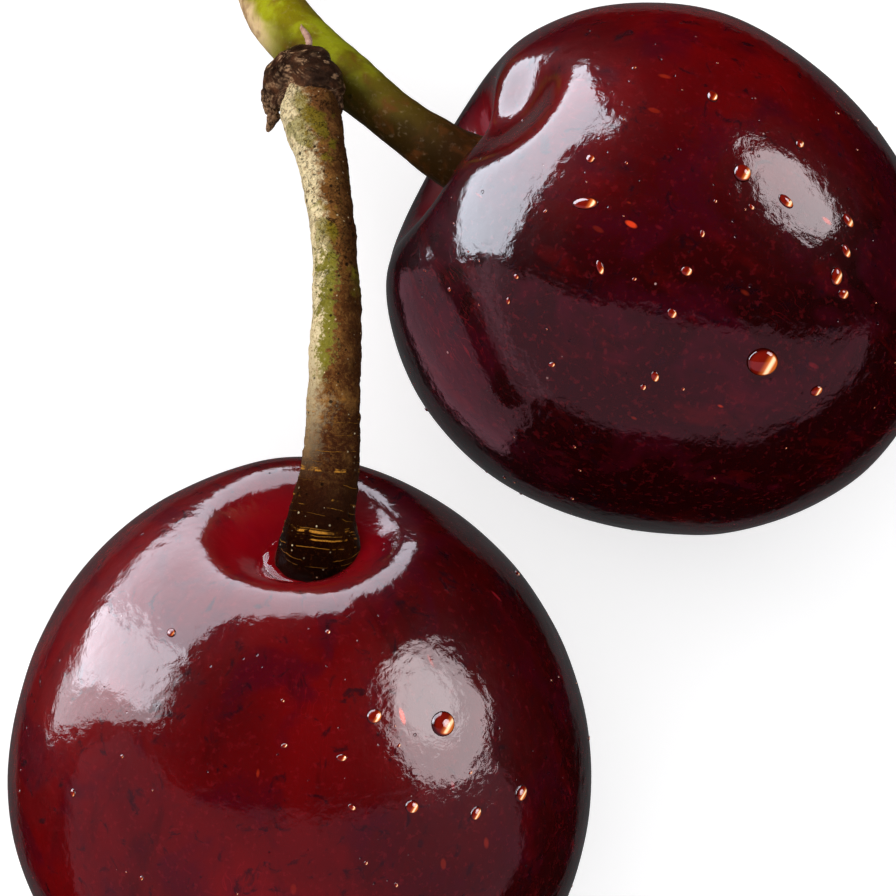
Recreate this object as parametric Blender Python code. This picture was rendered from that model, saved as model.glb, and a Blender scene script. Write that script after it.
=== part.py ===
"""A pair of sweet cherries that hang from one forked stem, laid down on a flat surface.

Units are millimetres in the tables below and metres in the model, +Z up.  The surface is Z = 0.
The front fruit's middle is over the zero of the tables, the rear fruit lies behind it on the
right, and both stalks arch back to the fork behind them.  Three things touch the surface: the
two fruits and the woody end of the stem.  The model's own origin is under the middle of the
whole pair, so an empty there carries every piece.
"""

import math

import bmesh
import bpy
from mathutils import Vector

MM = 0.001
GAP = 0.3  # between neighbours that grow into each other
PAIR_MIDDLE = (8.46, 18.03)  # the middle of the pair's outline seen from above

# Each fruit: half width across, half thickness, height of the shoulders and of the tip from the
# widest ring, depth and half width of the hollow that holds the stalk, and how square it is.
# heading turns its stalk end clockwise from +Y as seen from above, and lift raises it.
FRUITS = {
    "front_cherry": {
        "middle": (0.0, 0.1, 13.58),
        "heading": 4.0,
        "lift": 30.0,
        "half_width": 14.1,
        "half_thickness": 13.4,
        "shoulder": 16.6,
        "tip": 13.9,
        "tip_lean": -1.3,
        "hollow_depth": 4.2,
        "hollow_spread": 4.0,
        "color": (0.19, 0.006, 0.018, 1.0),
    },
    "rear_cherry": {
        "middle": (16.2, 25.4, 12.46),
        "heading": -61.0,
        "lift": 7.0,
        "half_width": 12.65,
        "half_thickness": 12.4,
        "shoulder": 12.0,
        "tip": 15.4,
        "tip_lean": 0.0,
        "hollow_depth": 4.4,
        "hollow_spread": 3.6,
        "color": (0.15, 0.005, 0.018, 1.0),
    },
}
SHOULDER_SQUARENESS = 1.97
TIP_SQUARENESS = 2.03
FRUIT_SEGMENTS = 44
FRUIT_RINGS = 30

# A stalk's foot stands in the hollow, on the fruit's own axis: (height above the hollow's
# floor, radius).
FOOT = [(0.7, 1.0), (1.0, 1.7), (1.5, 2.05), (2.3, 1.75)]

# The rest of each stalk: (x, y, z, radius).
FRONT_ROUTE = [
    (1.50, 14.7, 21.4, 1.40),
    (1.74, 18.6, 21.6, 1.28),
    (1.84, 21.9, 21.2, 1.20),
    (1.79, 25.3, 20.2, 1.10),
    (1.45, 28.2, 18.8, 1.10),
    (0.98, 30.6, 17.1, 1.20),
    (0.55, 32.2, 15.7, 1.35),
]
REAR_ROUTE = [
    (6.20, 31.0, 14.0, 1.35),
    (4.83, 32.0, 13.7, 1.25),
    (2.90, 33.6, 12.6, 1.30),
    (0.85, 35.2, 10.7, 1.50),
    (-0.95, 37.1, 8.3, 1.55),
    (-2.05, 39.1, 6.0, 1.35),
    (-3.35, 42.2, 3.3, 1.30),
    (-4.40, 46.0, 1.75, 1.40),
    (-5.30, 49.5, 1.65, 1.65),
]
ROUTE_STEPS = 4  # tube points for each stretch between two route points
TUBE_ROUNDNESS = 3

# The bud-scale knob where the front stalk joins the stem.
KNOB_REACH = 1.55  # half its length along the front stalk
KNOB_HALF_WIDTH = 1.95
KNOB_RIDGES = 7
KNOB_RIDGE_DEPTH = 0.16

BARK = (0.30, 0.17, 0.06, 1.0)
GREEN = (0.33, 0.33, 0.06, 1.0)
SCALE_BROWN = (0.05, 0.025, 0.015, 1.0)


def clear_scene():
    for old in list(bpy.data.objects):
        bpy.data.objects.remove(old, do_unlink=True)


def add_piece(made, pair, collection):
    collection.objects.link(made)
    made.parent = pair


def material(name, color, roughness):
    made = bpy.data.materials.new(name)
    made.use_nodes = True
    shader = made.node_tree.nodes["Principled BSDF"]
    shader.inputs["Base Color"].default_value = color
    shader.inputs["Roughness"].default_value = roughness
    shader.inputs["Metallic"].default_value = 0.0
    return made


def axis_of(fruit):
    """The direction from the fruit's middle to its stalk."""
    heading = math.radians(fruit["heading"])
    lift = math.radians(fruit["lift"])
    level = math.cos(lift)
    return Vector((math.sin(heading) * level, math.cos(heading) * level, math.sin(lift)))


def floor_height(fruit):
    """How far up the axis the bottom of the hollow is."""
    return fruit["shoulder"] - fruit["hollow_depth"]


def fruit_point(fruit, direction):
    """Where the skin is in a direction from the middle, with the stalk end at +Z."""
    above = direction.z > 0
    power = SHOULDER_SQUARENESS if above else TIP_SQUARENESS
    height = fruit["shoulder"] if above else fruit["tip"]
    across = math.hypot(direction.x, direction.y)
    reach = (across / fruit["half_width"]) ** power + (abs(direction.z) / height) ** power
    point = direction * reach ** (-1 / power)
    point.y *= fruit["half_thickness"] / fruit["half_width"]
    if above:
        spread = math.hypot(point.x, point.y) / fruit["hollow_spread"]
        point.z -= fruit["hollow_depth"] * math.exp(-spread**2)
    else:
        point.x += fruit["tip_lean"] * (point.z / fruit["tip"]) ** 2
    return point


def make_fruit(name, fruit):
    shape = bmesh.new()
    bmesh.ops.create_uvsphere(
        shape, u_segments=FRUIT_SEGMENTS, v_segments=FRUIT_RINGS, radius=1.0
    )
    for vert in shape.verts:
        vert.co = fruit_point(fruit, vert.co.normalized()) * MM
    mesh = bpy.data.meshes.new(name)
    shape.to_mesh(mesh)
    shape.free()
    mesh.shade_smooth()
    made = bpy.data.objects.new(name, mesh)
    made.data.materials.append(material(name + "_skin", fruit["color"], 0.12))
    made.location = Vector(fruit["middle"]) * MM
    made.rotation_mode = "QUATERNION"
    made.rotation_quaternion = axis_of(fruit).to_track_quat("Z", "Y")
    return made


def smooth_route(points):
    """Points along one smooth curve through the given ones, each (x, y, z, radius)."""
    route = [Vector(p) for p in points]
    ends = [route[0] * 2 - route[1]] + route + [route[-1] * 2 - route[-2]]
    out = []
    for i in range(1, len(ends) - 2):
        before, start, end, after = ends[i - 1 : i + 3]
        for step in range(ROUTE_STEPS):
            t = step / ROUTE_STEPS
            out.append(
                (
                    start * 2
                    + (end - before) * t
                    + (before * 2 - start * 5 + end * 4 - after) * t**2
                    + (start * 3 - before - end * 3 + after) * t**3
                )
                / 2
            )
    out.append(route[-1])
    return out


def stalk_points(fruit, route):
    """The foot's points on the fruit's axis, then the route's own."""
    middle = Vector(fruit["middle"])
    axis = axis_of(fruit)
    points = []
    for height, radius in FOOT:
        place = middle + axis * (floor_height(fruit) + height)
        points.append((*place, radius))
    return points + route


def make_stalk(name, points, look):
    route = smooth_route(points)
    curve = bpy.data.curves.new(name, "CURVE")
    curve.dimensions = "3D"
    curve.bevel_depth = MM
    curve.bevel_resolution = TUBE_ROUNDNESS
    curve.use_fill_caps = True
    spline = curve.splines.new("POLY")
    spline.points.add(len(route) - 1)
    for point, place in zip(spline.points, route):
        point.co = (*(place.xyz * MM), 1.0)
        point.radius = place.w
    made = bpy.data.objects.new(name, curve)
    made.data.materials.append(look)
    return made


def make_knob(name, end, direction, look):
    """A short ridged bud on the stalk's end, whose own axis goes on along the stalk."""
    shape = bmesh.new()
    bmesh.ops.create_uvsphere(shape, u_segments=28, v_segments=14, radius=1.0)
    for vert in shape.verts:
        around = math.atan2(vert.co.y, vert.co.x)
        level = math.hypot(vert.co.x, vert.co.y)
        ridge = KNOB_RIDGE_DEPTH * level**2 * math.cos(KNOB_RIDGES * around)
        wide = KNOB_HALF_WIDTH + ridge
        vert.co = Vector((vert.co.x * wide, vert.co.y * wide, vert.co.z * KNOB_REACH)) * MM
    mesh = bpy.data.meshes.new(name)
    shape.to_mesh(mesh)
    shape.free()
    mesh.shade_smooth()
    made = bpy.data.objects.new(name, mesh)
    made.data.materials.append(look)
    made.location = (end + direction * (KNOB_REACH + GAP)) * MM
    made.rotation_mode = "QUATERNION"
    made.rotation_quaternion = direction.to_track_quat("Z", "Y")
    return made


def main():
    clear_scene()
    collection = bpy.data.collections.new("cherry_pair")
    bpy.context.scene.collection.children.link(collection)
    pair = bpy.data.objects.new("pair_middle", None)
    pair.location = (-PAIR_MIDDLE[0] * MM, -PAIR_MIDDLE[1] * MM, 0.0)
    collection.objects.link(pair)
    for name, fruit in FRUITS.items():
        add_piece(make_fruit(name, fruit), pair, collection)
    front = stalk_points(FRUITS["front_cherry"], FRONT_ROUTE)
    rear = stalk_points(FRUITS["rear_cherry"], REAR_ROUTE)
    bark = material("bark", BARK, 0.6)
    green = material("green_stem", GREEN, 0.5)
    scales = material("bud_scales", SCALE_BROWN, 0.7)
    add_piece(make_stalk("front_stalk", front, bark), pair, collection)
    add_piece(make_stalk("rear_stalk", rear, green), pair, collection)
    end = Vector(FRONT_ROUTE[-1][:3])
    direction = (end - Vector(FRONT_ROUTE[-2][:3])).normalized()
    add_piece(make_knob("stalk_knob", end, direction, scales), pair, collection)


main()
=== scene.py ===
import math
import random

import bpy
from mathutils import Euler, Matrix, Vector


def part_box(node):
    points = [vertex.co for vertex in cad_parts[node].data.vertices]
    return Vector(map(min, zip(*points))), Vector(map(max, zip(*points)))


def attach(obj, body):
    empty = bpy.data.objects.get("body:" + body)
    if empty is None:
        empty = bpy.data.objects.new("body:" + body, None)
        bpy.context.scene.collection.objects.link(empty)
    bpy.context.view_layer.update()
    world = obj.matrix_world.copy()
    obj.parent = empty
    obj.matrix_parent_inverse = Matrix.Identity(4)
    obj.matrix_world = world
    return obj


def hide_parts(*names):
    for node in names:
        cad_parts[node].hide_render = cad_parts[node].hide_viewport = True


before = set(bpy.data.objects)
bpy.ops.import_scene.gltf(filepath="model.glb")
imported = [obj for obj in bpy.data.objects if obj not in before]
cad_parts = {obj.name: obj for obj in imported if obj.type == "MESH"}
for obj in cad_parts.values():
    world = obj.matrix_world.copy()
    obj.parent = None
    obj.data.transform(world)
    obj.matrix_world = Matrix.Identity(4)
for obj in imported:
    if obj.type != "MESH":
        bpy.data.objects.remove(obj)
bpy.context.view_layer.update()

mm = 0.001
mergeDistance = 0.002 * mm  # vertices closer than this become one

# All places below are in millimetres from the zero point: the spot on the table under the
# widest ring of the front cherry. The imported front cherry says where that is.
fromCorner = (14.06, 13.81)  # from the low corner of its box to the zero point
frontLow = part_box("front_cherry")[0]
zeroPoint = Vector((frontLow[0] + fromCorner[0] * mm, frontLow[1] + fromCorner[1] * mm, 0.0))


def spot(x, y, z):
    return zeroPoint + Vector((x, y, z)) * mm


# Small tools for meshes

def deselectAll():
    if bpy.context.object and bpy.context.object.mode != "OBJECT":
        bpy.ops.object.mode_set(mode="OBJECT")
    bpy.ops.object.select_all(action="DESELECT")


def makeActive(piece):
    deselectAll()
    piece.select_set(True)
    bpy.context.view_layer.objects.active = piece


def editAll():
    bpy.ops.object.mode_set(mode="EDIT")
    bpy.ops.mesh.select_all(action="SELECT")


def applyModifier(piece, kind, **settings):
    makeActive(piece)
    modifier = piece.modifiers.new(kind.title(), kind)
    for key, value in settings.items():
        setattr(modifier, key, value)
    bpy.ops.object.modifier_apply(modifier=modifier.name)


def roughen(piece, size, height, depth=2):
    # pushes the skin in and out by soft clouds, size and height in millimetres
    clouds = bpy.data.textures.new(piece.name + "Clouds", "CLOUDS")
    clouds.noise_scale = size * mm
    clouds.noise_depth = depth
    applyModifier(piece, "DISPLACE", texture=clouds, strength=height * mm, mid_level=0.5)


def selectNearest(piece, place):
    # one vertex, the nearest to a place in the piece's own axes
    bpy.ops.object.mode_set(mode="EDIT")
    bpy.ops.mesh.select_all(action="DESELECT")
    bpy.ops.mesh.select_mode(type="VERT")
    bpy.ops.object.mode_set(mode="OBJECT")
    nearest = min(piece.data.vertices, key=lambda v: (v.co - place).length_squared)
    nearest.select = True
    bpy.ops.object.mode_set(mode="EDIT")


def pushSkin(piece, pushes):
    # each push is (place on the skin, move, reach), in millimetres and in the piece's own axes
    makeActive(piece)
    for place, move, reach in pushes:
        selectNearest(piece, Vector(place) * mm)
        bpy.ops.transform.translate(
            value=Vector(move) * mm,
            use_proportional_edit=True,
            proportional_edit_falloff="SMOOTH",
            proportional_size=reach * mm,
        )
    bpy.ops.object.mode_set(mode="OBJECT")


def joinAll(pieces, name):
    deselectAll()
    for piece in pieces:
        piece.select_set(True)
    bpy.context.view_layer.objects.active = pieces[0]
    bpy.ops.object.join()
    joined = bpy.context.object
    joined.name = name
    return joined


def dress(piece, material, node=None):
    # puts the look on, hangs the piece on the root body, and hides the imported part it stands for, when
    # one is named
    makeActive(piece)
    bpy.ops.object.transform_apply(location=True, rotation=True, scale=True)
    piece.data.materials.clear()
    piece.data.materials.append(material)
    bpy.ops.object.shade_smooth()
    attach(piece, "root")
    if node:
        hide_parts(node)


# Small tools for materials

def newMaterial(name):
    material = bpy.data.materials.new(name)
    material.use_nodes = True
    return material, material.node_tree, material.node_tree.nodes["Principled BSDF"]


def setPlain(shader, values):
    # numbers and colours that are the same all over the piece
    for key, value in values.items():
        shader.inputs[key].default_value = value


def feed(tree, socket, value):
    # a socket takes a link, a colour, or a plain number
    if isinstance(value, bpy.types.NodeSocket):
        tree.links.new(value, socket)
    elif isinstance(value, tuple) and socket.type == "RGBA":
        socket.default_value = (*value, 1.0)
    else:
        socket.default_value = value


def addNode(tree, kind, inputs=None, **settings):
    node = tree.nodes.new(kind)
    for key, value in settings.items():
        setattr(node, key, value)
    for key, value in (inputs or {}).items():
        feed(tree, node.inputs[key], value)
    return node


def ramp(tree, fac, stops, interpolation="LINEAR"):
    # stops are (position, colour or grey)
    node = addNode(tree, "ShaderNodeValToRGB", {"Fac": fac})
    node.color_ramp.interpolation = interpolation
    elements = node.color_ramp.elements
    while len(elements) < len(stops):
        elements.new(0.5)
    for element, (position, colour) in zip(elements, stops):
        element.position = position
        if not isinstance(colour, tuple):
            colour = (colour, colour, colour)
        element.color = (*colour, 1.0)
    return node.outputs["Color"]


def fade(tree, value, start, end):
    # 0 at start and before it, 1 at end and past it; start may be the larger
    inputs = {"Value": value, "From Min": start, "From Max": end}
    node = addNode(tree, "ShaderNodeMapRange", inputs, interpolation_type="SMOOTHSTEP")
    return node.outputs["Result"]


def noise(tree, vector, scale, detail=3.0, roughness=0.5, distortion=0.0):
    inputs = {"Vector": vector, "Scale": scale, "Detail": detail}
    inputs.update({"Roughness": roughness, "Distortion": distortion})
    return addNode(tree, "ShaderNodeTexNoise", inputs).outputs["Fac"]


def mixColour(tree, fac, first, second):
    node = addNode(tree, "ShaderNodeMix", data_type="RGBA")
    feed(tree, node.inputs[0], fac)
    feed(tree, node.inputs[6], first)
    feed(tree, node.inputs[7], second)
    return node.outputs[2]


def sums(tree, operation, first, second=0.5, clamp=False):
    node = addNode(tree, "ShaderNodeMath", {0: first, 1: second}, operation=operation, use_clamp=clamp)
    return node.outputs[0]


def times(tree, first, *others):
    for other in others:
        first = sums(tree, "MULTIPLY", first, other)
    return first


def shifted(tree, vector, move):
    return addNode(tree, "ShaderNodeVectorMath", {0: vector, 1: move}, operation="ADD").outputs[0]


def bumps(tree, height, depth, strength=1.0):
    inputs = {"Height": height, "Strength": strength, "Distance": depth * mm}
    return addNode(tree, "ShaderNodeBump", inputs).outputs["Normal"]


def ownAxes(tree, middle, turn):
    # Object coordinates, brought to the piece's own axes and to millimetres
    place = addNode(tree, "ShaderNodeTexCoord")
    inputs = {"Vector": place.outputs["Object"], "Location": middle}
    inputs.update({"Rotation": turn, "Scale": (mm, mm, mm)})
    return addNode(tree, "ShaderNodeMapping", inputs, vector_type="TEXTURE").outputs["Vector"]


def specks(tree, vector, scale, size, share):
    # small dots, 1 inside; share is how many of the cells hold one, and each dot has its own tone
    inputs = {"Vector": vector, "Scale": scale, "Randomness": 1.0}
    cells = addNode(tree, "ShaderNodeTexVoronoi", inputs, feature="F1")
    pick = addNode(tree, "ShaderNodeSeparateColor", {"Color": cells.outputs["Color"]})
    chosen = sums(tree, "LESS_THAN", pick.outputs["Red"], share)
    width = sums(tree, "MULTIPLY_ADD", pick.outputs["Green"], size * 0.7)
    width.node.inputs[2].default_value = size * 0.3
    inside = sums(tree, "SUBTRACT", width, cells.outputs["Distance"])
    dot = sums(tree, "MULTIPLY", inside, 3.0 / size, clamp=True)
    return times(tree, dot, chosen), pick.outputs["Blue"]


# The fruits

skinLook = {
    "deep": (0.014, 0.0003, 0.0006),
    "body": (0.070, 0.0004, 0.0012),
    "lit": (0.170, 0.0005, 0.0012),
    "plumAndSheen": (0.050, 0.0005, 0.0060),  # the purple of the shoulders: partly the skin's own tone, partly a painted sheen of the bluish panels beside the highlights
    "orange": (0.90, 0.060, 0.012),
    "pink": (0.36, 0.012, 0.020),
    "blotch": (0.008, 0.0010, 0.0035),
    "paintedHollowGlow": (0.42, 0.002, 0.010),
    "scar": (0.10, 0.045, 0.02),
    "pale": (0.62, 0.36, 0.34),  # painted glints: crisp pale dots that stand for tiny water drops
    "thread": (0.30, 0.004, 0.008),  # the long faint lines from the hollow to the tip
    "baseRoughness": (0.34, 0.46),
    "coatRoughness": 0.035,
    "wrinkle": 0.018,  # depth of the fine wrinkles, in millimetres
}

fruitShape = {
    "shoulderPower": 1.97,  # 2 is a round outline, and a larger number is squarer
    "tipPower": 2.03,
    "dimple": (0.45, 1.1),  # depth and half width of the small dimple at the tip
    "swells": (5.5, 0.16),  # size and height of the skin's soft swells
    "outlineSteps": 60,
    "spinSteps": 72,
}

frontFruit = {
    "name": "frontCherrySkin",
    "node": "front_cherry",
    "slot": "front_skin",
    "middle": (0.0, 0.1, 13.58),
    "heading": 1.0,  # turns the stalk end clockwise from +Y
    "lift": 35.5,  # raises the stalk end
    "halfWidth": 14.1,
    "halfThickness": 13.4,
    "shoulder": 16.6,
    "tip": 13.9,
    "tipLean": (-1.3, 0.0),
    "hollowDepth": 4.2,
    "hollowSpread": 3.6,
    "pushes": [
        ((0.0, -6.0, 14.0), (0.0, 0.0, 0.35), 6.0),
        ((-6.0, 1.0, 14.0), (0.0, 0.0, 0.25), 5.0),
        ((9.0, 9.0, 4.0), (-0.25, -0.25, 0.0), 7.0),
        ((-10.0, 8.0, -3.0), (0.2, -0.3, 0.0), 6.0),
    ],
    "paintedLitSide": (-0.62, 0.05, 0.70),  # painted light: the skin is painted reddest on this side, seen from the middle of the fruit
    "paintedLitRange": (-0.55, 0.95),
    "seed": 3,
}
rearFruit = {
    "name": "rearCherrySkin",
    "node": "rear_cherry",
    "slot": "rear_skin",
    "middle": (16.2, 25.4, 12.46),
    "heading": -61.0,
    "lift": 7.0,
    "halfWidth": 12.65,
    "halfThickness": 12.4,
    "shoulder": 12.0,
    "tip": 15.4,
    "tipLean": (0.0, 0.0),
    "hollowDepth": 4.4,
    "hollowSpread": 3.6,
    "pushes": [
        ((6.5, 3.0, 9.5), (0.0, 0.2, 0.45), 5.0),
        ((8.0, 9.5, -2.0), (0.0, 0.3, 0.0), 6.0),
        ((-3.2, 5.6, 9.9), (0.0, -1.2, -1.4), 4.0),  # the valley that runs out of the hollow
    ],
    "paintedLitSide": (0.10, 0.80, 0.59),
    "paintedLitRange": (0.35, 1.05),
    "seed": 8,
}


def axisOf(fruit):
    heading = math.radians(fruit["heading"])
    lift = math.radians(fruit["lift"])
    level = math.cos(lift)
    return Vector((math.sin(heading) * level, math.cos(heading) * level, math.sin(lift)))


def turnOf(fruit):
    return axisOf(fruit).to_track_quat("Z", "Y")


def cherrySkin(fruit):
    material, tree, shader = newMaterial(fruit["name"] + "Look")
    look = skinLook
    own = ownAxes(tree, spot(*fruit["middle"]), turnOf(fruit).to_euler("XYZ"))
    shift = shifted(tree, own, (fruit["seed"] * 7.0, fruit["seed"] * 3.0, fruit["seed"] * 5.0))
    parts = addNode(tree, "ShaderNodeSeparateXYZ", {"Vector": own})
    level = addNode(tree, "ShaderNodeCombineXYZ", {"X": parts.outputs["X"], "Y": parts.outputs["Y"]})
    unit = {0: level.outputs["Vector"]}
    around = addNode(tree, "ShaderNodeVectorMath", unit, operation="NORMALIZE").outputs[0]
    outward = addNode(tree, "ShaderNodeVectorMath", {0: own}, operation="NORMALIZE").outputs[0]

    # painted light: the red brightens slowly over the fruit as if light shone through it, and the painted
    # lit side is reddest while the far side is painted in deep shade
    slow = noise(tree, shift, 0.10, 2.0, 0.5, 0.5)
    colour = ramp(tree, slow, [(0.30, look["body"]), (0.66, look["lit"])], "EASE")
    paintedLitAxis = turnOf(fruit).inverted() @ Vector(fruit["paintedLitSide"])
    litFacing = addNode(tree, "ShaderNodeVectorMath", {0: outward, 1: paintedLitAxis}, operation="DOT_PRODUCT")
    paintedLitShare = fade(tree, litFacing.outputs["Value"], *fruit["paintedLitRange"])
    colour = mixColour(tree, paintedLitShare, look["deep"], colour)

    # purple clouds, partly a painted sheen beside the highlights, and streaks from the hollow to the tip
    cloud = ramp(tree, noise(tree, shift, 0.28, 3.0, 0.55, 0.8), [(0.46, 0.0), (0.66, 1.0)], "EASE")
    colour = mixColour(tree, times(tree, cloud, 0.60), colour, look["plumAndSheen"])
    alongAxis = times(tree, parts.outputs["Z"], 0.035)
    streakPlace = addNode(tree, "ShaderNodeCombineXYZ", {"Z": alongAxis}).outputs["Vector"]
    streakVector = shifted(tree, around, streakPlace)
    streak = noise(tree, streakVector, 8.0, 4.0, 0.6, 0.25)
    colour = mixColour(tree, times(tree, fade(tree, streak, 0.54, 0.74), 0.25), colour, look["lit"])
    colour = mixColour(tree, times(tree, fade(tree, streak, 0.44, 0.28), 0.35), colour, look["deep"])
    thread = noise(tree, streakVector, 21.0, 1.0, 0.4, 0.6)
    nearHalf = sums(tree, "ABSOLUTE", sums(tree, "SUBTRACT", thread, 0.5))
    line = times(tree, fade(tree, nearHalf, 0.012, 0.0), fade(tree, slow, 0.48, 0.60), 0.35)
    colour = mixColour(tree, line, colour, look["thread"])

    # soft dark blotches and fine grain under the skin
    blotch = noise(tree, shift, 0.95, 4.0, 0.6, 0.9)
    colour = mixColour(tree, times(tree, fade(tree, blotch, 0.57, 0.70), 0.75), colour, look["blotch"])
    grain = noise(tree, shift, 3.2, 3.0, 0.6, 0.3)
    colour = mixColour(tree, times(tree, fade(tree, grain, 0.55, 0.70), 0.14), colour, look["pink"])

    # pores, most of them stretched from the hollow to the tip
    flank = addNode(tree, "ShaderNodeVectorMath", {0: around, 1: (13.0, 13.0, 13.0)}, operation="MULTIPLY")
    down = addNode(tree, "ShaderNodeCombineXYZ", {"Z": times(tree, parts.outputs["Z"], 0.5)})
    meridian = shifted(tree, flank.outputs[0], down.outputs["Vector"])
    pin = specks(tree, shifted(tree, shift, (11.0, 4.0, 9.0)), 1.25, 0.13, 0.50)[0]
    colour = mixColour(tree, times(tree, pin, 0.70), colour, look["blotch"])
    pink, pinkTone = specks(tree, shifted(tree, meridian, (3.0, 8.0, 1.0)), 0.80, 0.16, 0.16)
    colour = mixColour(tree, times(tree, pink, pinkTone, 0.75), colour, look["pink"])
    ember, emberTone = specks(tree, shifted(tree, meridian, (9.0, 2.0, 6.0)), 0.52, 0.105, 0.80)
    colour = mixColour(tree, times(tree, ember, emberTone), colour, look["orange"])
    # painted glints of tiny water drops, as crisp pale dots
    pale, paleTone = specks(tree, shifted(tree, shift, (2.0, 6.0, 7.0)), 0.80, 0.060, 0.28)
    colour = mixColour(tree, times(tree, pale, paleTone), colour, look["pale"])

    # painted light: the walls of the hollow are painted bright red where light shines through them, and the
    # tip has a dry scar
    fromAxis = addNode(tree, "ShaderNodeVectorMath", unit, operation="LENGTH").outputs["Value"]
    hollowGlowShare = times(
        tree,
        fade(tree, fromAxis, fruit["hollowSpread"] * 1.35, fruit["hollowSpread"] * 0.75),
        fade(tree, parts.outputs["Z"], 0.0, 4.0),
        0.55,
    )
    colour = mixColour(tree, hollowGlowShare, colour, look["paintedHollowGlow"])
    tipPlace = (-fruit["tipLean"][0], -fruit["tipLean"][1], fruit["tip"])
    fromTip = {0: shifted(tree, own, tipPlace)}
    tipDistance = addNode(tree, "ShaderNodeVectorMath", fromTip, operation="LENGTH").outputs["Value"]
    colour = mixColour(tree, fade(tree, tipDistance, 1.1, 0.5), colour, look["scar"])
    feed(tree, shader.inputs["Base Color"], colour)

    # fine wrinkles over soft ripples
    wrinkle = noise(tree, shift, 2.1, 4.0, 0.55, 0.5)
    ripple = noise(tree, shift, 0.55, 2.0, 0.5, 0.2)
    height = sums(tree, "ADD", wrinkle, times(tree, ripple, 3.0))
    height = sums(tree, "ADD", height, times(tree, pin, -0.8))
    normal = bumps(tree, height, look["wrinkle"])
    feed(tree, shader.inputs["Normal"], normal)
    feed(tree, shader.inputs["Coat Normal"], normal)
    low, high = look["baseRoughness"]
    feed(tree, shader.inputs["Roughness"], ramp(tree, blotch, [(0.35, low), (0.65, high)]))
    setPlain(shader, {
        "Subsurface Weight": 0.30,
        "Subsurface Radius": (1.0, 0.10, 0.08),
        "Subsurface Scale": 1.8 * mm,
        "Specular IOR Level": 0.03,
        "Coat Weight": 1.0,
        "Coat Roughness": look["coatRoughness"],
        "Coat IOR": 1.45,
    })
    return material


def outlineOf(fruit):
    # from the bottom of the hollow to the tip, as (out from the axis, 0, up it)
    points = []
    count = fruitShape["outlineSteps"]
    dimpleDepth, dimpleWidth = fruitShape["dimple"]
    for i in range(count + 1):
        angle = math.pi * i / count
        across, up = math.sin(angle), math.cos(angle)
        end = "shoulder" if up > 0 else "tip"
        power, height = fruitShape[end + "Power"], fruit[end]
        reach = ((across / fruit["halfWidth"]) ** power + (abs(up) / height) ** power) ** (-1 / power)
        radius, along = across * reach, up * reach
        if up > 0:
            along -= fruit["hollowDepth"] * math.exp(-((radius / fruit["hollowSpread"]) ** 2))
        else:
            along += dimpleDepth * math.exp(-((radius / dimpleWidth) ** 2))
        points.append(Vector((radius, 0.0, along)) * mm)
    points[0].x = points[-1].x = 0.0
    return points


def makeFruit(fruit):
    # one corner is drawn along the outline and spun round, then the skin is pushed
    outline = outlineOf(fruit)
    deselectAll()
    bpy.ops.mesh.primitive_plane_add(size=mm, location=(0, 0, 0))
    skin = bpy.context.object
    skin.name = fruit["name"]
    editAll()
    bpy.ops.mesh.merge(type="CENTER")
    bpy.ops.mesh.select_all(action="SELECT")
    bpy.ops.transform.translate(value=outline[0])
    for start, end in zip(outline, outline[1:]):
        bpy.ops.mesh.extrude_region_move(TRANSFORM_OT_translate={"value": end - start})
    bpy.ops.mesh.select_all(action="SELECT")
    steps = fruitShape["spinSteps"]
    bpy.ops.mesh.spin(steps=steps, angle=2 * math.pi, center=(0, 0, 0), axis=(0, 0, 1))
    bpy.ops.mesh.select_all(action="SELECT")
    bpy.ops.mesh.remove_doubles(threshold=mergeDistance)
    bpy.ops.mesh.normals_make_consistent(inside=False)
    thin = fruit["halfThickness"] / fruit["halfWidth"]
    bpy.ops.transform.resize(value=(1, thin, 1), center_override=(0, 0, 0))
    leanTip = ((0.0, 0.0, -fruit["tip"]), (*fruit["tipLean"], 0.0), fruit["tip"])
    pushSkin(skin, [leanTip] + fruit["pushes"])
    applyModifier(skin, "SUBSURF", levels=2, render_levels=2)
    roughen(skin, *fruitShape["swells"], 1)
    skin.location = spot(*fruit["middle"])
    skin.rotation_mode = "QUATERNION"
    skin.rotation_quaternion = turnOf(fruit)
    dress(skin, cherrySkin(fruit), fruit["node"])
    return skin


# The stalks

frontStalk = {
    "name": "frontStalkBark",
    "node": "front_stalk",
    "slot": "bark",
    "route": [  # (x, y, z, radius)
        (1.00, 10.1, 20.3, 2.20),
        (1.02, 10.9, 20.95, 2.13),
        (1.06, 11.7, 21.3, 1.95),
        (1.15, 12.9, 21.5, 1.65),
        (1.50, 14.7, 21.4, 1.42),
        (1.74, 18.6, 21.6, 1.28),
        (1.84, 21.9, 21.2, 1.20),
        (1.79, 25.3, 20.2, 1.10),
        (1.45, 28.2, 18.8, 1.12),
        (0.98, 30.6, 17.1, 1.26),
        (0.55, 32.2, 15.7, 1.42),
        (0.32, 33.3, 14.9, 1.36),
    ],
    "side": (1.0, 0.0, 0.0),  # across the stalk, from its pale, painted-lit side to its painted-shade one
    "lumps": [(1.5, 0.20), (0.50, 0.13), (0.20, 0.07)],  # (size, height) of the bark's clouds
}
rearStalk = {
    "name": "greenStem",
    "node": "rear_stalk",
    "slot": "green_stem",
    "route": [
        (10.123, 28.768, 13.313, 2.10),
        (9.082, 29.346, 13.459, 2.00),
        (8.040, 29.923, 13.606, 1.60),
        (6.20, 31.0, 14.0, 1.38),
        (4.83, 32.0, 13.7, 1.27),
        (2.90, 33.6, 12.6, 1.32),
        (0.85, 35.2, 10.7, 1.50),
        (-0.95, 37.1, 8.3, 1.54),
        (-2.05, 39.1, 6.0, 1.36),
        (-3.35, 42.2, 3.3, 1.28),
        (-4.40, 46.0, 1.75, 1.36),
        (-5.00, 48.4, 1.62, 1.60),
        (-5.30, 49.5, 1.62, 1.55),
    ],
    "side": (0.66, 0.75, 0.0),
    "lumps": [(2.2, 0.16), (0.8, 0.05)],
}

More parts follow.
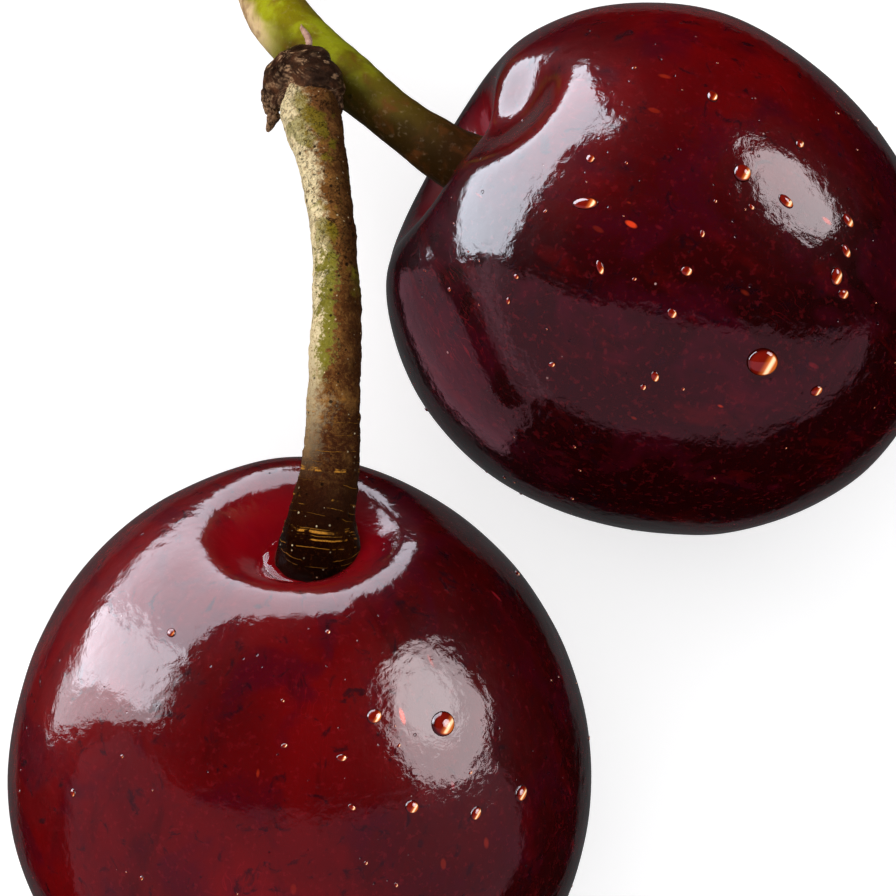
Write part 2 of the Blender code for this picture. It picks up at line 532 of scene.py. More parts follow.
brownBark = {
    "along": [  # (millimetres up from the foot, colour)
        (0.0, (0.005, 0.0012, 0.0006)),
        (2.2, (0.009, 0.0018, 0.0006)),
        (4.5, (0.034, 0.007, 0.0015)),
        (8.0, (0.078, 0.020, 0.0045)),
        (13.0, (0.120, 0.038, 0.007)),
        (19.0, (0.170, 0.064, 0.014)),
        (24.0, (0.185, 0.070, 0.020)),
    ],
    "tan": (0.34, 0.155, 0.035),
    # pale serves both the pale flakes and the painted light on the pale side
    "pale": (0.98, 0.82, 0.50),
    "rust": (0.33, 0.105, 0.020),
    "gold": (0.70, 0.30, 0.035),
    "shadeSide": (0.042, 0.011, 0.0018),
    "moss": (0.200, 0.180, 0.004),
    "dark": (0.009, 0.0035, 0.0015),
    "roughFrom": 14.0,  # the bark is rough and flaking above this, ringed and smooth below
    "relief": 0.32,  # depth of the cracks and warts
}
greenBark = {
    "along": [
        (0.0, (0.020, 0.006, 0.002)),
        (4.0, (0.040, 0.016, 0.003)),
        (7.0, (0.090, 0.060, 0.005)),
        (10.0, (0.130, 0.105, 0.003)),
        (15.0, (0.185, 0.155, 0.002)),
        (22.0, (0.260, 0.210, 0.003)),
        (31.0, (0.220, 0.190, 0.012)),
    ],
    "lime": (0.34, 0.38, 0.010),
    "shadeSide": (0.026, 0.012, 0.0015),
    "tanSide": (0.66, 0.47, 0.28),
    "rust": (0.13, 0.038, 0.008),
    "dark": (0.016, 0.009, 0.002),
    "wood": (0.16, 0.085, 0.035),
    "relief": 0.10,
}


def alongRamp(tree, along, stops):
    # a colour for each length up the stalk
    longest = stops[-1][0]
    placed = [(length / longest, colour) for length, colour in stops]
    return ramp(tree, times(tree, along, 1.0 / longest), placed)


def wayParts(tree):
    # the stalk's own measure: side (-1 to 1), and millimetres up from the foot
    way = addNode(tree, "ShaderNodeAttribute", attribute_name="way")
    split = addNode(tree, "ShaderNodeSeparateXYZ", {"Vector": way.outputs["Vector"]})
    return split.outputs["X"], split.outputs["Y"]


def inMillimetres(tree):
    place = addNode(tree, "ShaderNodeTexCoord")
    inputs = {"Vector": place.outputs["Object"], "Scale": (mm, mm, mm)}
    return addNode(tree, "ShaderNodeMapping", inputs, vector_type="TEXTURE").outputs["Vector"]


def brownBarkLook():
    look = brownBark
    material, tree, shader = newMaterial("brownBarkLook")
    own = inMillimetres(tree)
    side, along = wayParts(tree)
    wobble = sums(tree, "SUBTRACT", noise(tree, own, 0.8, 3.0), 0.5)
    border = sums(tree, "ADD", along, times(tree, wobble, 5.0))
    upper = fade(tree, border, look["roughFrom"] - 2.0, look["roughFrom"] + 2.0)
    colour = alongRamp(tree, along, look["along"])

    # long soft patches of tan, then rust and a fine grain
    patch = noise(tree, own, 0.9, 5.0, 0.65, 0.4)
    fine = noise(tree, own, 4.2, 5.0, 0.72, 0.2)
    dry = fade(tree, along, 3.0, 9.0)
    colour = mixColour(tree, times(tree, fade(tree, patch, 0.48, 0.64), dry, 0.55), colour, look["tan"])
    colour = mixColour(tree, times(tree, fade(tree, fine, 0.52, 0.66), dry, 0.40), colour, look["rust"])
    colour = mixColour(tree, times(tree, fade(tree, fine, 0.46, 0.34), 0.55), colour, look["shadeSide"])

    # painted light: a pale painted-lit side that is partly pale bark, a dark painted-shade side, and the
    # moss between them
    sidewise = sums(tree, "ADD", side, times(tree, wobble, 1.6))
    sidewise = sums(tree, "ADD", sidewise, times(tree, sums(tree, "SUBTRACT", fine, 0.5), 1.8))
    paleBarkAndLitShare = times(tree, fade(tree, sidewise, 0.05, -0.80), fade(tree, along, 4.5, 13.0), 0.92)
    colour = mixColour(tree, paleBarkAndLitShare, colour, look["pale"])
    grit = noise(tree, shifted(tree, own, (6.0, 2.0, 3.0)), 6.0, 4.0, 0.75, 0.4)
    colour = mixColour(tree, times(tree, fade(tree, grit, 0.50, 0.36), dry, 0.60), colour, look["tan"])
    colour = mixColour(tree, times(tree, fade(tree, grit, 0.40, 0.30), 0.70), colour, look["shadeSide"])
    colour = mixColour(tree, times(tree, fade(tree, sidewise, 0.25, 0.95), 0.70), colour, look["shadeSide"])
    mossNoise = noise(tree, shifted(tree, own, (5.0, 3.2, 0.0)), 0.42, 3.0, 0.6, 0.5)
    mossBand = times(tree, fade(tree, sidewise, -0.80, -0.55), fade(tree, sidewise, 0.02, -0.28))
    mossLength = times(tree, fade(tree, along, 9.0, 10.5), fade(tree, along, 16.5, 15.5))
    mossPatch = times(tree, fade(tree, mossNoise, 0.54, 0.62), upper, 0.60)
    mossShare = sums(tree, "MAXIMUM", times(tree, mossBand, mossLength, 0.90), mossPatch)
    colour = mixColour(tree, mossShare, colour, look["moss"])

    # warts and cracks: many and coarse above, few below
    wart = specks(tree, own, 2.6, 0.28, 0.42)[0]
    colour = mixColour(tree, times(tree, wart, 0.85), colour, look["dark"])
    flake, flakeTone = specks(tree, shifted(tree, own, (4.0, 1.0, 2.0)), 3.4, 0.24, 0.30)
    colour = mixColour(tree, times(tree, flake, flakeTone, 0.9), colour, look["pale"])
    crackNoise = noise(tree, own, 1.7, 4.0, 0.6, 1.2)
    crackHalf = sums(tree, "ABSOLUTE", sums(tree, "SUBTRACT", crackNoise, 0.5))
    crack = times(tree, fade(tree, crackHalf, 0.016, 0.0), upper)
    colour = mixColour(tree, times(tree, crack, 0.85), colour, look["dark"])

    # growth rings near the foot, broken up round the stalk
    ringPlace = sums(tree, "ADD", along, times(tree, wobble, 0.25))
    ringVector = addNode(tree, "ShaderNodeCombineXYZ", {"Y": ringPlace}).outputs["Vector"]
    ringNoise = noise(tree, ringVector, 1.25, 2.0, 0.6)
    ringHalf = sums(tree, "ABSOLUTE", sums(tree, "SUBTRACT", ringNoise, 0.5))
    broken = fade(tree, noise(tree, own, 1.1, 3.0, 0.6, 0.6), 0.47, 0.57)
    ringLength = times(tree, fade(tree, along, 9.5, 7.0), fade(tree, along, 0.8, 2.0))
    ring = times(tree, fade(tree, ringHalf, 0.016, 0.0), ringLength, broken)
    colour = mixColour(tree, times(tree, ring, 0.85), colour, look["gold"])
    feed(tree, shader.inputs["Base Color"], colour)

    wet = fade(tree, along, 4.2, 1.6)
    feed(tree, shader.inputs["Roughness"], ramp(tree, wet, [(0.0, 0.55), (1.0, 0.14)]))
    height = sums(tree, "ADD", times(tree, fine, 1.0), times(tree, patch, 0.8))
    height = sums(tree, "ADD", height, times(tree, wart, -0.5))
    height = sums(tree, "ADD", height, times(tree, crack, -0.8))
    height = sums(tree, "ADD", height, times(tree, ring, 0.35))
    feed(tree, shader.inputs["Normal"], bumps(tree, height, look["relief"]))
    setPlain(shader, {"Specular IOR Level": 0.14})
    return material


def greenStemLook():
    look = greenBark
    material, tree, shader = newMaterial("greenStemLook")
    own = inMillimetres(tree)
    side, along = wayParts(tree)
    wobble = sums(tree, "SUBTRACT", noise(tree, own, 0.6, 3.0), 0.5)
    soft = noise(tree, own, 0.45, 4.0, 0.55, 0.4)
    fine = noise(tree, own, 3.5, 5.0, 0.65, 0.2)
    colour = alongRamp(tree, along, look["along"])
    fresh = fade(tree, along, 6.0, 11.0)
    colour = mixColour(tree, times(tree, fade(tree, soft, 0.44, 0.62), fresh, 0.55), colour, look["lime"])

    # the shaded flank of the lower stretch, and the pale flank of the upper one
    sidewise = sums(tree, "ADD", side, times(tree, wobble, 1.1))
    lower = fade(tree, along, 16.0, 12.0)
    shaded = times(tree, fade(tree, sidewise, 0.35, -0.45), lower, 0.90)
    colour = mixColour(tree, shaded, colour, look["shadeSide"])
    upper = times(tree, fade(tree, along, 13.0, 16.0), fade(tree, along, 27.0, 22.0))
    tanned = times(tree, fade(tree, sidewise, -0.20, -0.75), upper, 0.90)
    colour = mixColour(tree, tanned, colour, look["tanSide"])

    # brown bruises, rust spots and pinpricks
    bruise = noise(tree, shifted(tree, own, (2.0, 7.0, 1.0)), 0.75, 3.0, 0.55, 0.5)
    colour = mixColour(tree, times(tree, fade(tree, bruise, 0.50, 0.78), 0.75), colour, look["rust"])
    freckle = specks(tree, own, 0.95, 0.24, 0.40)[0]
    colour = mixColour(tree, times(tree, freckle, 0.60), colour, look["dark"])
    pin = specks(tree, shifted(tree, own, (3.0, 1.0, 4.0)), 3.0, 0.16, 0.25)[0]
    colour = mixColour(tree, times(tree, pin, 0.45), colour, look["rust"])
    colour = mixColour(tree, times(tree, fade(tree, fine, 0.55, 0.72), 0.10), colour, look["tanSide"])

    # the woody end that was pulled off the spur
    woody = fade(tree, sums(tree, "ADD", along, times(tree, wobble, 3.0)), 28.0, 30.5)
    colour = mixColour(tree, times(tree, woody, 0.9), colour, look["wood"])
    feed(tree, shader.inputs["Base Color"], colour)
    feed(tree, shader.inputs["Roughness"], ramp(tree, fine, [(0.35, 0.36), (0.65, 0.50)]))
    height = sums(tree, "ADD", times(tree, fine, 0.6), times(tree, freckle, -0.3))
    feed(tree, shader.inputs["Normal"], bumps(tree, height, look["relief"], 0.7))
    setPlain(shader, {
        "Specular IOR Level": 0.12,
        "Subsurface Weight": 0.15,
        "Subsurface Radius": (0.8, 1.0, 0.2),
        "Subsurface Scale": 0.6 * mm,
    })
    return material


tubeSteps = {"along": 14, "round": 10}


def pointsOf(route):
    # (place in metres, radius in millimetres)
    return [(spot(x, y, z), radius) for x, y, z, radius in route]


def makeTube(name, points):
    # a smooth round tube through the points, closed at both ends
    deselectAll()
    bpy.ops.curve.primitive_bezier_curve_add(location=(0, 0, 0))
    tube = bpy.context.object
    tube.name = name
    curve = tube.data
    curve.splines.clear()
    spline = curve.splines.new("BEZIER")
    spline.bezier_points.add(len(points) - 1)
    for point, (place, radius) in zip(spline.bezier_points, points):
        point.co = place
        point.radius = radius
        point.handle_left_type = point.handle_right_type = "AUTO"
    spline.resolution_u = tubeSteps["along"]
    spline.radius_interpolation = "CARDINAL"
    curve.dimensions = "3D"
    curve.bevel_depth = mm
    curve.bevel_resolution = tubeSteps["round"]
    curve.use_fill_caps = True
    makeActive(tube)
    bpy.ops.object.convert(target="MESH")
    tube = bpy.context.object
    editAll()
    bpy.ops.mesh.remove_doubles(threshold=mergeDistance)
    bpy.ops.mesh.normals_make_consistent(inside=False)
    bpy.ops.object.mode_set(mode="OBJECT")
    return tube


def measureWay(tube, points, sideAxis):
    # gives each vertex its side and its length up the stalk, for the materials
    sideAxis = Vector(sideAxis).normalized()
    lengths = [0.0]
    for i in range(len(points) - 1):
        lengths.append(lengths[-1] + (points[i + 1][0] - points[i][0]).length / mm)
    way = tube.data.attributes.new("way", "FLOAT_VECTOR", "POINT")
    for vertex in tube.data.vertices:
        best = None
        for i in range(len(points) - 1):
            start, startRadius = points[i]
            end, endRadius = points[i + 1]
            step = end - start
            share = min(max((vertex.co - start).dot(step) / step.length_squared, 0.0), 1.0)
            off = vertex.co - (start + step * share)
            if best is None or off.length < best[0]:
                radius = (startRadius + (endRadius - startRadius) * share) * mm
                along = lengths[i] + (lengths[i + 1] - lengths[i]) * share
                best = (off.length, off.dot(sideAxis) / radius, along)
        way.data[vertex.index].vector = (best[1], best[2], 0.0)


def makeStalk(stalk, material):
    points = pointsOf(stalk["route"])
    stem = makeTube(stalk["name"], points)
    measureWay(stem, points, stalk["side"])
    applyModifier(stem, "SUBSURF", levels=1, render_levels=1)
    for size, height in stalk["lumps"]:
        roughen(stem, size, height)
    dress(stem, material, stalk["node"])
    return stem


# The dry bud knob where the front stalk meets the green stem

knob = {
    "name": "budKnob",
    "node": "stalk_knob",
    "slot": "bud_scales",
    "core": ((0.20, 33.75, 14.3), (1.55, 1.35, 1.45)),  # (middle, half sizes)
    "scales": [
        # middle, half sizes, where the cup is cut (-1 to 1), turn in degrees, wall, crumple
        ((0.62, 33.85, 14.95), (1.50, 1.45, 1.30), -0.32, (-78, 0, 8), 0.16, 0.10),  # the smooth dome
        ((-0.05, 34.15, 14.50), (1.85, 1.50, 1.35), 0.0, (-62, 0, 30), 0.20, 0.22),  # the band behind it
        ((-0.62, 33.72, 15.00), (1.30, 0.42, 1.20), 0.05, (25, 0, 56), 0.16, 0.30),  # the folded ridge
        ((0.45, 33.60, 14.70), (1.72, 1.55, 1.00), -0.35, (-84, 0, -4), 0.14, 0.26),  # the collar
        ((-1.25, 33.35, 14.35), (0.62, 0.50, 0.75), -0.10, (35, -60, 10), 0.14, 0.35),
        ((-1.35, 32.85, 14.15), (0.50, 0.42, 0.62), -0.10, (20, -70, 40), 0.14, 0.35),
        ((-1.22, 32.25, 14.30), (0.26, 0.40, 0.85), -0.20, (70, -30, -12), 0.14, 0.30),
        ((-0.85, 34.95, 14.20), (0.62, 0.42, 0.50), -0.10, (60, -40, 30), 0.14, 0.35),
        ((1.62, 33.00, 14.60), (0.50, 0.70, 0.95), -0.80, (90, 0, 6), 0.14, 0.12),
    ],
    "bract": [  # the thin dry thread above the knob, (x, y, z, radius)
        (0.25, 35.15, 13.35, 0.16),
        (0.42, 35.60, 13.15, 0.15),
        (0.36, 36.10, 12.55, 0.17),
        (0.10, 36.55, 11.75, 0.12),
        (0.02, 36.80, 11.10, 0.05),
    ],
    "coreLumps": (0.8, 0.30),  # (size, height)
    "bractLumps": (0.5, 0.08),
}

scaleLook = {
    "dark": (0.010, 0.0045, 0.003),
    "body": (0.030, 0.0125, 0.007),
    "warm": (0.085, 0.030, 0.012),
    "edge": (0.34, 0.20, 0.11),
    "fleck": (0.55, 0.42, 0.32),
    "bractDark": (0.30, 0.15, 0.11),
    "bractPale": (0.52, 0.33, 0.26),
    "relief": 0.14,
}


def budScaleLook():
    look = scaleLook
    material, tree, shader = newMaterial("budScaleLook")
    own = inMillimetres(tree)
    slow = noise(tree, own, 0.9, 4.0, 0.6, 0.6)
    fine = noise(tree, own, 5.0, 5.0, 0.7, 0.3)
    colour = ramp(tree, slow, [(0.34, look["dark"]), (0.52, look["body"]), (0.70, look["warm"])])
    colour = mixColour(tree, times(tree, fade(tree, fine, 0.55, 0.70), 0.5), colour, look["warm"])
    ridge = addNode(tree, "ShaderNodeNewGeometry").outputs["Pointiness"]
    # paler on sharp edges and ridges
    paleOnEdges = times(tree, fade(tree, ridge, 0.510, 0.565), fade(tree, fine, 0.36, 0.56))
    colour = mixColour(tree, times(tree, paleOnEdges, 0.85), colour, look["edge"])
    fleck, fleckTone = specks(tree, own, 4.5, 0.22, 0.16)
    colour = mixColour(tree, times(tree, fleck, fleckTone, 0.8), colour, look["fleck"])
    feed(tree, shader.inputs["Base Color"], colour)
    feed(tree, shader.inputs["Roughness"], ramp(tree, slow, [(0.35, 0.30), (0.65, 0.55)]))
    height = sums(tree, "ADD", fine, slow)
    feed(tree, shader.inputs["Normal"], bumps(tree, height, look["relief"], 0.9))
    setPlain(shader, {"Specular IOR Level": 0.16})
    return material


def bractLook():
    material, tree, shader = newMaterial("bractLook")
    fine = noise(tree, inMillimetres(tree), 3.0, 4.0, 0.6, 0.3)
    colour = ramp(tree, fine, [(0.35, scaleLook["bractDark"]), (0.65, scaleLook["bractPale"])])
    feed(tree, shader.inputs["Base Color"], colour)
    setPlain(shader, {"Roughness": 0.6})
    return material


def makeScale(name, middle, halfSizes, cut, turn, wall, crumple):
    # a cup: a ball cut across, given a wall, and left a little crumpled
    deselectAll()
    bpy.ops.mesh.primitive_uv_sphere_add(segments=36, ring_count=24, radius=mm)
    cup = bpy.context.object
    cup.name = name
    editAll()
    plane = (0, 0, cut * mm)
    bpy.ops.mesh.bisect(plane_co=plane, plane_no=(0, 0, 1), clear_inner=True, threshold=0.0001 * mm)
    bpy.ops.mesh.select_all(action="SELECT")
    bpy.ops.transform.resize(value=halfSizes, center_override=(0, 0, 0))
    bpy.ops.mesh.normals_make_consistent(inside=False)
    bpy.ops.object.mode_set(mode="OBJECT")
    cup.location = spot(*middle)
    cup.rotation_euler = Euler([math.radians(angle) for angle in turn])
    bpy.ops.object.transform_apply(location=True, rotation=True, scale=True)
    applyModifier(cup, "SOLIDIFY", thickness=wall * mm, offset=-1.0)
    applyModifier(cup, "SUBSURF", levels=1, render_levels=1)
    roughen(cup, 0.9, crumple, 1)
    roughen(cup, 0.25, 0.3 * crumple)
    return cup


def makeKnob():
    middle, halfSizes = knob["core"]
    deselectAll()
    bpy.ops.mesh.primitive_ico_sphere_add(subdivisions=5, radius=mm)
    core = bpy.context.object
    core.name = "knobCore"
    editAll()
    bpy.ops.transform.resize(value=halfSizes, center_override=(0, 0, 0))
    bpy.ops.object.mode_set(mode="OBJECT")
    core.location = spot(*middle)
    bpy.ops.object.transform_apply(location=True, rotation=True, scale=True)
    roughen(core, *knob["coreLumps"])
    pieces = [core]
    for number, scale in enumerate(knob["scales"]):
        pieces.append(makeScale(f"knobScale{number}", *scale))
    whole = joinAll(pieces, knob["name"])
    dress(whole, budScaleLook(), knob["node"])
    thread = makeTube("dryBract", pointsOf(knob["bract"]))
    roughen(thread, *knob["bractLumps"], 1)
    dress(thread, bractLook())
    return [whole, thread]


# Water: drops on the skins, and the wet ring round the front stalk's foot

frontDrops = {
    "name": "frontDrops",
    "slot": "front_skin",
    "placed": [  # (x, y, half width, how much longer than wide, turn in degrees)
        (6.91, 3.33, 0.60, 1.00, 0),
        (3.72, 3.72, 0.34, 1.10, 20),
        (-5.80, 7.58, 0.22, 1.10, 0),
        (5.46, -0.53, 0.32, 1.05, 0),
        (8.45, -0.92, 0.27, 1.30, 80),
        (10.58, -0.05, 0.34, 1.20, 70),
        (-10.55, -0.05, 0.16, 1.30, 90),
        (1.55, 7.65, 0.12, 1.00, 0),
        (2.20, 1.80, 0.17, 1.50, 30),
    ],
    "scattered": 70,
    "seed": 21,
}
rearDrops = {
    "name": "rearDrops",
    "slot": "rear_skin",
    "placed": [
        (21.98, 20.29, 0.70, 1.15, 40),
        (21.01, 29.18, 0.45, 1.00, 0),
        (13.62, 27.73, 0.30, 2.10, 40),
        (26.09, 27.00, 0.26, 1.60, 110),
        (25.99, 25.55, 0.22, 1.70, 110),
        (25.51, 24.35, 0.33, 1.40, 80),
        (25.85, 23.52, 0.26, 1.20, 0),
        (23.82, 30.63, 0.22, 1.20, 20),
        (23.09, 27.87, 0.26, 1.70, 115),
        (19.66, 32.85, 0.26, 1.30, 30),
        (13.86, 29.85, 0.22, 1.10, 0),
        (18.36, 24.54, 0.24, 1.20, 0),
        (17.68, 22.56, 0.22, 1.20, 10),
        (24.60, 18.95, 0.26, 1.30, 60),
        (14.30, 24.70, 0.17, 2.20, 105),
        (16.90, 19.60, 0.20, 1.40, 10),
        (16.35, 19.10, 0.15, 1.00, 0),
        (19.10, 26.30, 0.12, 1.60, 70),
    ],
    "scattered": 90,
    "seed": 34,
}
drop = {
    "height": 0.62,  # of its half width
    # painted light on the drops: a painted dark rim, the red seen through the drop, a painted amber glow
    # and a painted glint
    "edge": (0.030, 0.0010, 0.0006),
    "middle": (0.200, 0.0070, 0.0030),
    "paintedAmberGlow": (0.95, 0.20, 0.030),
    "glint": (1.0, 0.72, 0.42),
    "glowSide": (0.86, -0.50, 0.0),  # away from the brightest panel
    "smallest": 0.045,
    "largest": 0.15,
    "lowest": 1.5,  # no scattered drop lies nearer to the table
    "nearStalk": 0.85,  # nor closer to the axis: the cosine of the angle from it
}
meniscus = {
    "middle": (0.95, 10.85, 20.9),
    "radius": 2.35,
    "halfWidth": 0.34,
    "tint": (0.95, 0.62, 0.52),
    "clear": (1.0, 0.80, 0.72),
}


def waterLook():
    material, tree, shader = newMaterial("waterLook")
    own = inMillimetres(tree)
    tint = ramp(tree, noise(tree, own, 0.4, 2.0), [(0.3, meniscus["tint"]), (0.7, meniscus["clear"])])
    feed(tree, shader.inputs["Base Color"], tint)
    setPlain(shader, {"Roughness": 0.0, "IOR": 1.33, "Transmission Weight": 1.0})
    ripple = noise(tree, own, 1.8, 1.0)
    feed(tree, shader.inputs["Normal"], bumps(tree, ripple, 0.02, 0.6))
    return material


def beadLook():
    # painted light: the clear drop is painted dark at the edge, amber where the light that goes through it
    # lands, and with a glowing painted glint
    material, tree, shader = newMaterial("beadLook")
    dome = addNode(tree, "ShaderNodeAttribute", attribute_name="dome")
    split = addNode(tree, "ShaderNodeSeparateXYZ", {"Vector": dome.outputs["Vector"]})
    side, rise = split.outputs["X"], split.outputs["Y"]
    colour = mixColour(tree, fade(tree, rise, 0.25, 0.70), drop["edge"], drop["middle"])
    glow = times(tree, fade(tree, side, 0.05, 0.50), fade(tree, rise, 0.45, 0.68))
    colour = mixColour(tree, glow, colour, drop["paintedAmberGlow"])
    nearGlow = fade(tree, side, 0.34, 0.52)
    farGlow = fade(tree, side, 0.78, 0.60)
    # the painted glint, which also glows
    core = times(tree, nearGlow, fade(tree, rise, 0.58, 0.70), farGlow)
    colour = mixColour(tree, core, colour, drop["glint"])
    feed(tree, shader.inputs["Base Color"], colour)
    feed(tree, shader.inputs["Emission Color"], colour)
    feed(tree, shader.inputs["Emission Strength"], times(tree, core, 0.45))
    setPlain(shader, {"Roughness": 0.05, "IOR": 1.6})
    return material


def measureDome(bead, width):
    # gives each vertex how far it lies towards the glow, and how high it stands over the skin
    towards = bead.matrix_world.to_3x3().inverted() @ Vector(drop["glowSide"])
    reach = max(abs(towards.dot(vertex.co)) for vertex in bead.data.vertices)
    top = width * drop["height"] * mm
    dome = bead.data.attributes.new("dome", "FLOAT_VECTOR", "POINT")
    for vertex in bead.data.vertices:
        side = towards.dot(vertex.co) / reach
        dome.data[vertex.index].vector = (side, vertex.co.z / top, 0.0)


def addDrop(place, normal, width, stretch, turn, fine):
    # half of it is sunk in the skin, so that only the dome shows
    deselectAll()
    if fine:
        bpy.ops.mesh.primitive_uv_sphere_add(segments=32, ring_count=20, radius=width * mm)
    else:
        bpy.ops.mesh.primitive_ico_sphere_add(subdivisions=2, radius=width * mm)
    bead = bpy.context.object
    editAll()
    flat = (stretch, 1.0, drop["height"])
    bpy.ops.transform.resize(value=flat, center_override=(0, 0, 0))
    bpy.ops.object.mode_set(mode="OBJECT")
    bead.location = place
    bead.rotation_mode = "QUATERNION"
    spin = Euler((0, 0, math.radians(turn))).to_quaternion()
    bead.rotation_quaternion = normal.to_track_quat("Z", "X") @ spin
    bpy.context.view_layer.update()
    measureDome(bead, width)
    bpy.ops.object.transform_apply(location=True, rotation=True, scale=True)
    return bead


def makeDrops(plan, fruit, skin, material):
    shuffle = random.Random(plan["seed"])
    beads = []
    for x, y, width, stretch, turn in plan["placed"]:
        found, place, normal = skin.ray_cast(spot(x, y, 60.0), Vector((0, 0, -1)))[:3]
        if found:
            beads.append(addDrop(place, normal, width, stretch, turn, True))
    middle = spot(*fruit["middle"])
    while len(beads) < len(plan["placed"]) + plan["scattered"]:
        ray = Vector([shuffle.gauss(0.0, 1.0) for axis in range(3)]).normalized()
        width = drop["smallest"] + (drop["largest"] - drop["smallest"]) * shuffle.random() ** 3
        stretch, turn = 1.0 + 0.7 * shuffle.random() ** 2, shuffle.uniform(0, 180)
        found, place, normal = skin.ray_cast(middle + ray * 40.0 * mm, -ray)[:3]
        if found and ray.dot(axisOf(fruit)) < drop["nearStalk"] and place.z > drop["lowest"] * mm:
            beads.append(addDrop(place, normal, width, stretch, turn, False))
    whole = joinAll(beads, plan["name"])
    whole.visible_shadow = False
    dress(whole, material)
    return whole


def makeMeniscus(fruit, material):
    deselectAll()
    bpy.ops.mesh.primitive_torus_add(
        major_segments=96,
        minor_segments=20,
        major_radius=meniscus["radius"] * mm,
        minor_radius=meniscus["halfWidth"] * mm,
    )
    ring = bpy.context.object
    ring.name = "wetRing"
    ring.location = spot(*meniscus["middle"])
    ring.rotation_mode = "QUATERNION"
    ring.rotation_quaternion = turnOf(fruit)
    bpy.ops.object.transform_apply(location=True, rotation=True, scale=True)
    roughen(ring, 1.1, 0.20, 1)
    ring.visible_shadow = False
    dress(ring, material)
    return ring


# Table, light and camera

panels = {
    # facing: from the fruits to the panel; away and size in metres; shine: seen only as a reflection
    "frontSoftbox": {
        "facing": (-0.586, 0.814, 0.09),
        "away": 0.5,
        "size": (1.06, 0.59),
        "radiance": 7.6,
        "colour": (0.90, 0.88, 1.0),
        "shine": True,
        "only": "front",
    },
    "frontSoftboxEnd": {
        "facing": (-1.195, 0.303, 0.09),
        "away": 0.62,
        "size": (0.36, 0.70),
        "radiance": 5.2,
        "colour": (0.90, 0.92, 1.0),
        "shine": True,
        "only": "front",
    },
    "rearSoftbox": {
        "facing": (-0.733, 0.643, 0.14),
        "away": 0.5,
        "size": (0.68, 0.44),
        "radiance": 13.6,
        "colour": (0.83, 0.88, 1.0),
        "shine": True,
        "only": "rear",
    },
    "frontWindow": {
        "facing": (0.85, 0.05, 0.52),
        "away": 0.5,
        "size": (0.40, 0.46),
        "radiance": 8.0,
        "colour": (1.0, 0.84, 0.88),
        "shine": True,
        "round": True,
        "only": "front",
    },
    "frontWindowTop": {
        "facing": (0.80, 0.14, 0.60),
        "away": 0.5,
        "size": (0.24, 0.26),
        "radiance": 4.5,
        "colour": (1.0, 0.95, 0.97),
        "shine": True,
        "round": True,
        "only": "front",
    },
    "rearWindow": {
        "facing": (0.82, 0.48, 0.32),
        "away": 0.5,
        "size": (0.25, 0.24),
        "radiance": 9.5,
        "colour": (1.0, 0.88, 0.92),
        "shine": True,
        "round": True,
        "only": "rear",
    },
    "frontGlow": {
        "facing": (0.0, -0.970, 0.242),
        "away": 0.4,
        "size": (6.0, 0.83),
        "radiance": 0.50,
        "colour": (1.0, 0.42, 0.55),
        "shine": True,
        "only": "front",
    },
    "rearGlow": {
        "facing": (0.0, -0.75, 0.66),
        "away": 0.4,
        "size": (6.0, 0.42),
        "roll": -10.0,
        "radiance": 0.75,
        "colour": (1.0, 0.42, 0.55),
        "shine": True,
        "only": "rear",
    },
    "rearGlowLeft": {
        "facing": (-0.88, -0.42, -0.20),
        "away": 0.4,
        "size": (0.42, 0.50),
        "radiance": 0.75,
        "colour": (1.0, 0.42, 0.55),
        "shine": True,
        "only": "rear",
    },
    "rimGlow": {
        "facing": (0.0, 0.0, -1.0),
        "away": 0.3,
        "size": (0.42, 0.42),
        "radiance": 0.075,
        "colour": (0.95, 0.97, 1.0),
        "shine": True,
    },
    "key": {
        "facing": (-0.60, 0.62, 0.50),
        "away": 0.6,
        "size": (0.45, 0.45),
        "radiance": 2.4,
        "colour": (1.0, 0.98, 0.95),
        "shine": False,
    },
    "barkKey": {
        "facing": (-0.92, 0.20, 0.35),
        "away": 0.6,
        "size": (0.45, 0.45),
        "radiance": 3.4,
        "colour": (1.0, 0.96, 0.88),
        "shine": False,
        "only": "stalks",
    },
}
room = {
    "top": 1.15,  # how bright the room is overhead
    "side": 0.45,
    "below": 0.10,
    "table": (0.86, 0.86, 0.87),
    "tableGlow": 0.42,
    "tableSize": 4.0,
    "panelTarget": (7.0, 16.0, 13.0),  # the place that all panels face
}
view = {
    "middle": (7.15, 16.23, 13.58),
    "above": 400.0,
    "shownWidth": 43.28,  # how many millimetres the picture is wide, at the fruits
    "sensor": 36.0,
}


def makeTable():
    deselectAll()
    bpy.ops.mesh.primitive_plane_add(size=room["tableSize"], location=(0, 0, 0))
    table = bpy.context.object
    table.name = "paleTable"
    material, tree, shader = newMaterial("paleTableLook")
    setPlain(shader, {
        "Base Color": (*room["table"], 1.0),
        "Roughness": 0.9,
        "Emission Color": (1.0, 1.0, 1.0, 1.0),
        "Emission Strength": room["tableGlow"],
    })
    table.data.materials.append(material)
    table.visible_glossy = False
    table.visible_diffuse = False
    table.visible_shadow = False


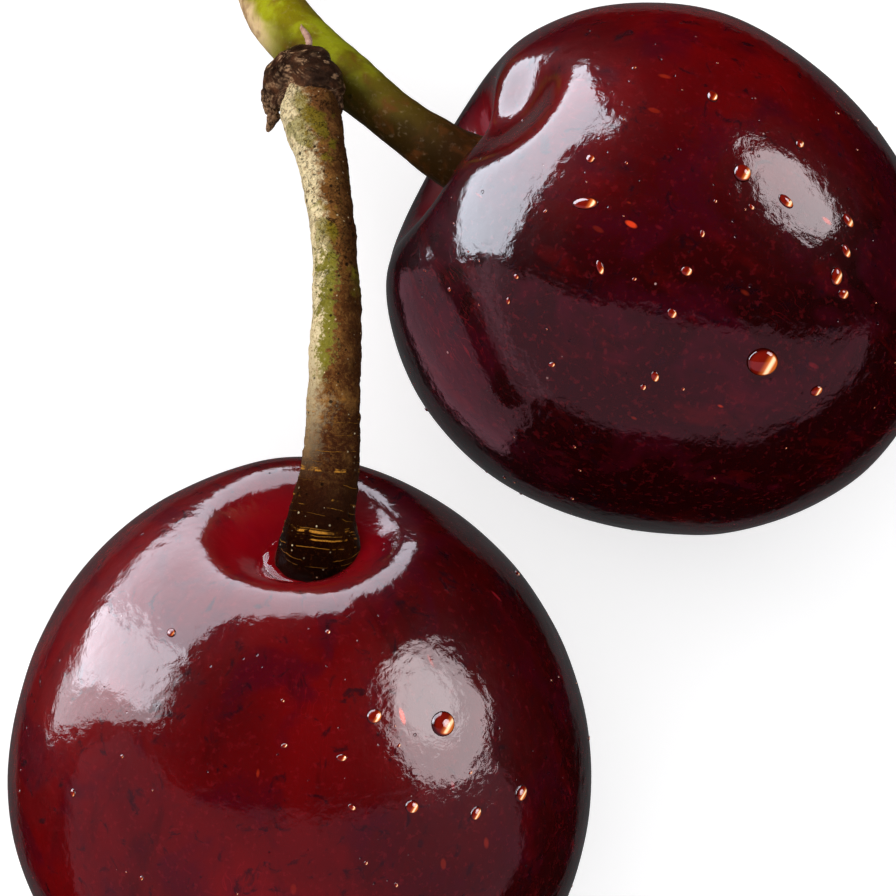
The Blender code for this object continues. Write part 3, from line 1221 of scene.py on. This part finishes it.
def addPanel(name, plan, receivers):
    # a soft panel that faces the fruits, as bright as radiance says whatever its size
    light = bpy.data.lights.new(name, "AREA")
    light.shape = "ELLIPSE" if plan.get("round") else "RECTANGLE"
    light.size, light.size_y = plan["size"]
    area = light.size * light.size_y * (math.pi / 4 if plan.get("round") else 1.0)
    light.energy = plan["radiance"] * math.pi * area
    light.color = plan["colour"]
    panel = bpy.data.objects.new(name, light)
    facing = Vector(plan["facing"]).normalized()
    panel.location = spot(*room["panelTarget"]) + facing * plan["away"]
    panel.rotation_mode = "QUATERNION"
    roll = Euler((0, 0, math.radians(plan.get("roll", 0.0)))).to_quaternion()
    panel.rotation_quaternion = facing.to_track_quat("Z", "Y") @ roll
    panel.visible_camera = False
    if plan["shine"]:
        panel.visible_diffuse = False
        panel.visible_transmission = False
    else:
        panel.visible_glossy = False
    bpy.context.scene.collection.objects.link(panel)
    if plan.get("only"):
        group = bpy.data.collections.new(name + "Receivers")
        for piece in receivers[plan["only"]]:
            group.objects.link(piece)
        panel.light_linking.receiver_collection = group
        if plan["only"] == "rear":
            panel.light_linking.blocker_collection = group


def makeRoom():
    world = bpy.data.worlds.new("softRoom")
    bpy.context.scene.world = world
    world.use_nodes = True
    tree = world.node_tree
    sky = tree.nodes["Background"]
    place = addNode(tree, "ShaderNodeTexCoord")
    height = addNode(tree, "ShaderNodeSeparateXYZ", {"Vector": place.outputs["Generated"]}).outputs["Z"]
    share = sums(tree, "MULTIPLY_ADD", height, 0.5)
    share.node.inputs[2].default_value = 0.5
    stops = [(0.30, room["below"]), (0.5, room["side"]), (1.0, room["top"])]
    feed(tree, sky.inputs["Color"], ramp(tree, share, stops))
    sky.inputs["Strength"].default_value = 1.0
    world.cycles_visibility.glossy = False


def makeCamera():
    camera = bpy.data.cameras.new("camera")
    holder = bpy.data.objects.new("camera", camera)
    bpy.context.scene.collection.objects.link(holder)
    x, y, z = view["middle"]
    holder.location = spot(x, y, z + view["above"])
    camera.sensor_width = view["sensor"]
    camera.lens = view["sensor"] * view["above"] / view["shownWidth"]
    camera.clip_start = 0.01
    bpy.context.scene.camera = holder
    bpy.context.scene.view_settings.view_transform = "Standard"


makeTable()
makeRoom()
makeCamera()
print("table, room and camera stand")
frontSkin = makeFruit(frontFruit)
rearSkin = makeFruit(rearFruit)
for skin in (frontSkin, rearSkin):
    skin.visible_glossy = False  # neither fruit is seen in the other
print("fruits are made")
stalks = [makeStalk(frontStalk, brownBarkLook()), makeStalk(rearStalk, greenStemLook())]
stalks += makeKnob()
print("stalks and knob are made")
beads = beadLook()
frontBeads = makeDrops(frontDrops, frontFruit, frontSkin, beads)
rearBeads = makeDrops(rearDrops, rearFruit, rearSkin, beads)
footRing = makeMeniscus(frontFruit, waterLook())
print("drops lie on the skins")
litBy = {"front": [frontSkin, frontBeads, footRing], "rear": [rearSkin, rearBeads], "stalks": stalks}
for panelName, panelPlan in panels.items():
    addPanel(panelName, panelPlan, litBy)
print("panels are lit")
